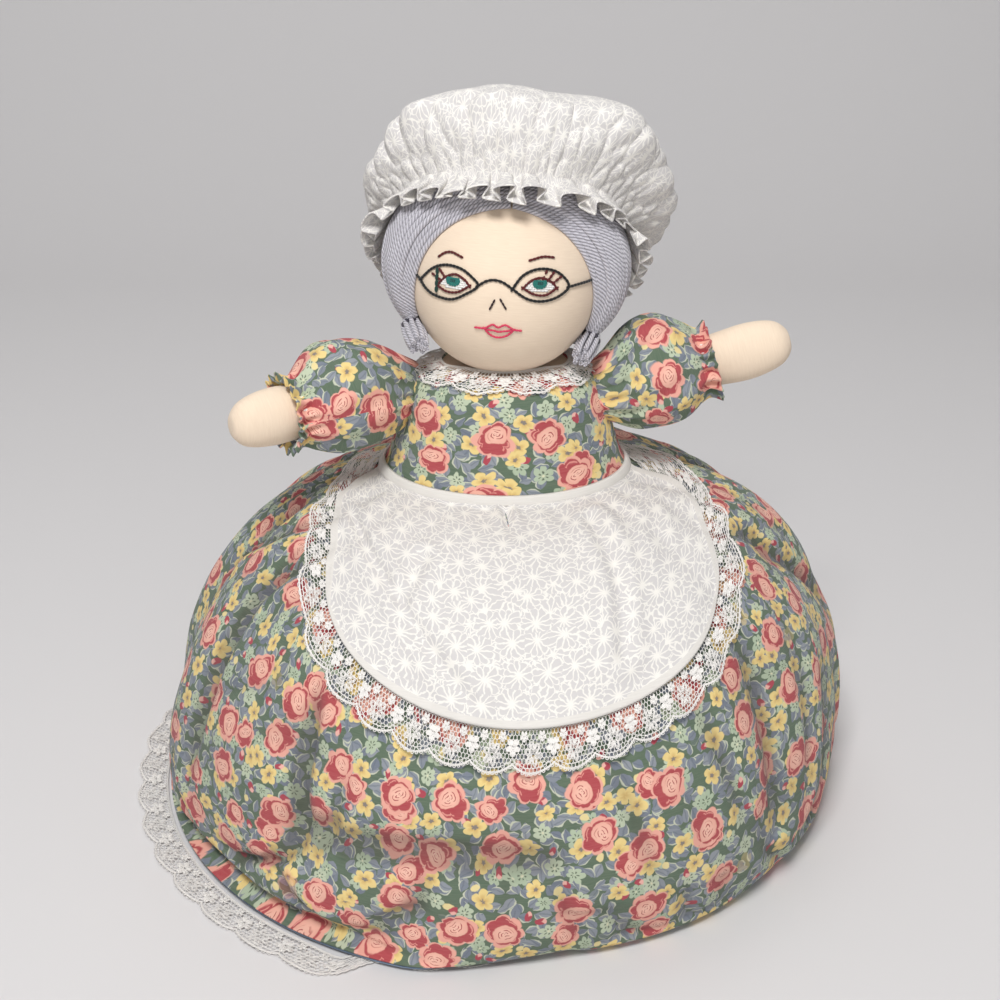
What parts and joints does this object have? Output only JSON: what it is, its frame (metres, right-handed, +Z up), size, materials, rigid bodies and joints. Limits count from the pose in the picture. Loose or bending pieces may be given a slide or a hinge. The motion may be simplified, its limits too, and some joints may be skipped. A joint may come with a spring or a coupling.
{
  "type": "topsy-turvy rag doll",
  "caption": "Standing reversible rag doll with embroidered face, yarn hair, ruffled mob cap and lace-edged apron; a second doll hides under its full gathered floral skirt.",
  "frame": {"origin": "middle of the bounding box at floor level, where the skirt hem rests", "axes": "+Z up along the doll, the shown doll faces -Y and its left hand is on +X"},
  "size_m": [0.4188, 0.377, 0.4041],
  "materials": {
    "muslin": "cream plain-woven cotton, stuffed",
    "calico": "grey-green cotton with an all-over rose print",
    "white_cotton": "off-white cotton with a tone-on-tone print",
    "lace": "open white lace",
    "grey_yarn": "plied wool-like yarn",
    "brown_yarn": "plied wool-like yarn",
    "dark_thread": "wound sewing thread",
    "elastic": "flat woven elastic",
    "plain_cotton": "plain blue-grey cotton"
  },
  "bodies": {
    "torso_and_skirt": {"body": "muslin", "upper_bodice": "calico", "collar_lace": "lace", "lower_bodice": "plain_cotton", "skirt": "calico", "skirt_lining": "plain_cotton", "hem_lace": "lace", "apron": "white_cotton", "apron_lace": "lace", "apron_waistband": "white_cotton", "apron_bow_knot": "white_cotton", "apron_bow_loop_left": "white_cotton", "apron_bow_loop_right": "white_cotton", "apron_tie_tail_left": "white_cotton", "apron_tie_tail_right": "white_cotton"},
    "upper_neck": {"upper_neck": "muslin"},
    "upper_head": {"upper_head": "muslin", "upper_hair_left": "grey_yarn", "upper_hair_right": "grey_yarn", "upper_hair_tie_left": "dark_thread", "upper_hair_tie_right": "dark_thread", "upper_hair_tail_left": "grey_yarn", "upper_hair_tail_right": "grey_yarn"},
    "cap": {"cap": "white_cotton", "cap_elastic": "elastic"},
    "upper_arm_left": {"upper_arm_left": "muslin", "upper_sleeve_left": "calico", "upper_cuff_elastic_left": "elastic"},
    "upper_arm_right": {"upper_arm_right": "muslin", "upper_sleeve_right": "calico", "upper_cuff_elastic_right": "elastic"},
    "lower_neck": {"lower_neck": "muslin"},
    "lower_head": {"lower_head": "muslin", "lower_hair_left": "brown_yarn", "lower_hair_right": "brown_yarn"},
    "lower_arm_left": {"lower_arm_left": "muslin", "lower_sleeve_left": "plain_cotton", "lower_cuff_elastic_left": "elastic"},
    "lower_arm_right": {"lower_arm_right": "muslin", "lower_sleeve_right": "plain_cotton", "lower_cuff_elastic_right": "elastic"}
  },
  "joints": [
    {"name": "upper_head_turn", "type": "hinge", "parent": "torso_and_skirt", "child": "upper_neck", "pos_m": [0.01102, 0.00765, 0.303], "axis": [0, 0, 1], "range_deg": [-16, 16]},
    {"name": "upper_head_nod", "type": "hinge", "parent": "upper_neck", "child": "upper_head", "pos_m": [0.01102, 0.00765, 0.303], "axis": [1, 0, 0], "range_deg": [-5, 5]},
    {"name": "cap_lift", "type": "slide", "parent": "upper_head", "child": "cap", "axis": [0.0545, 0.8188, 0.5715], "range_m": [0, 0.08]},
    {"name": "upper_arm_left_swing", "type": "hinge", "parent": "torso_and_skirt", "child": "upper_arm_left", "pos_m": [0.06952, 0.00765, 0.241], "axis": [0, -1, 0], "range_deg": [-27, 2]},
    {"name": "upper_arm_right_swing", "type": "hinge", "parent": "torso_and_skirt", "child": "upper_arm_right", "pos_m": [-0.04748, 0.00765, 0.241], "axis": [0, 1, 0], "range_deg": [-7, 20]},
    {"name": "lower_head_turn", "type": "hinge", "parent": "torso_and_skirt", "child": "lower_neck", "pos_m": [0.01102, 0.00765, 0.083], "axis": [0, 0, 1], "range_deg": [-20, 20]},
    {"name": "lower_head_nod", "type": "hinge", "parent": "lower_neck", "child": "lower_head", "pos_m": [0.01102, 0.00765, 0.083], "axis": [1, 0, 0], "range_deg": [-8, 8]},
    {"name": "lower_arm_left_swing", "type": "hinge", "parent": "torso_and_skirt", "child": "lower_arm_left", "pos_m": [-0.04748, 0.00765, 0.145], "axis": [0, -1, 0], "range_deg": [-5, 6]},
    {"name": "lower_arm_right_swing", "type": "hinge", "parent": "torso_and_skirt", "child": "lower_arm_right", "pos_m": [0.06952, 0.00765, 0.145], "axis": [0, 1, 0], "range_deg": [-5, 6]}
  ]
}
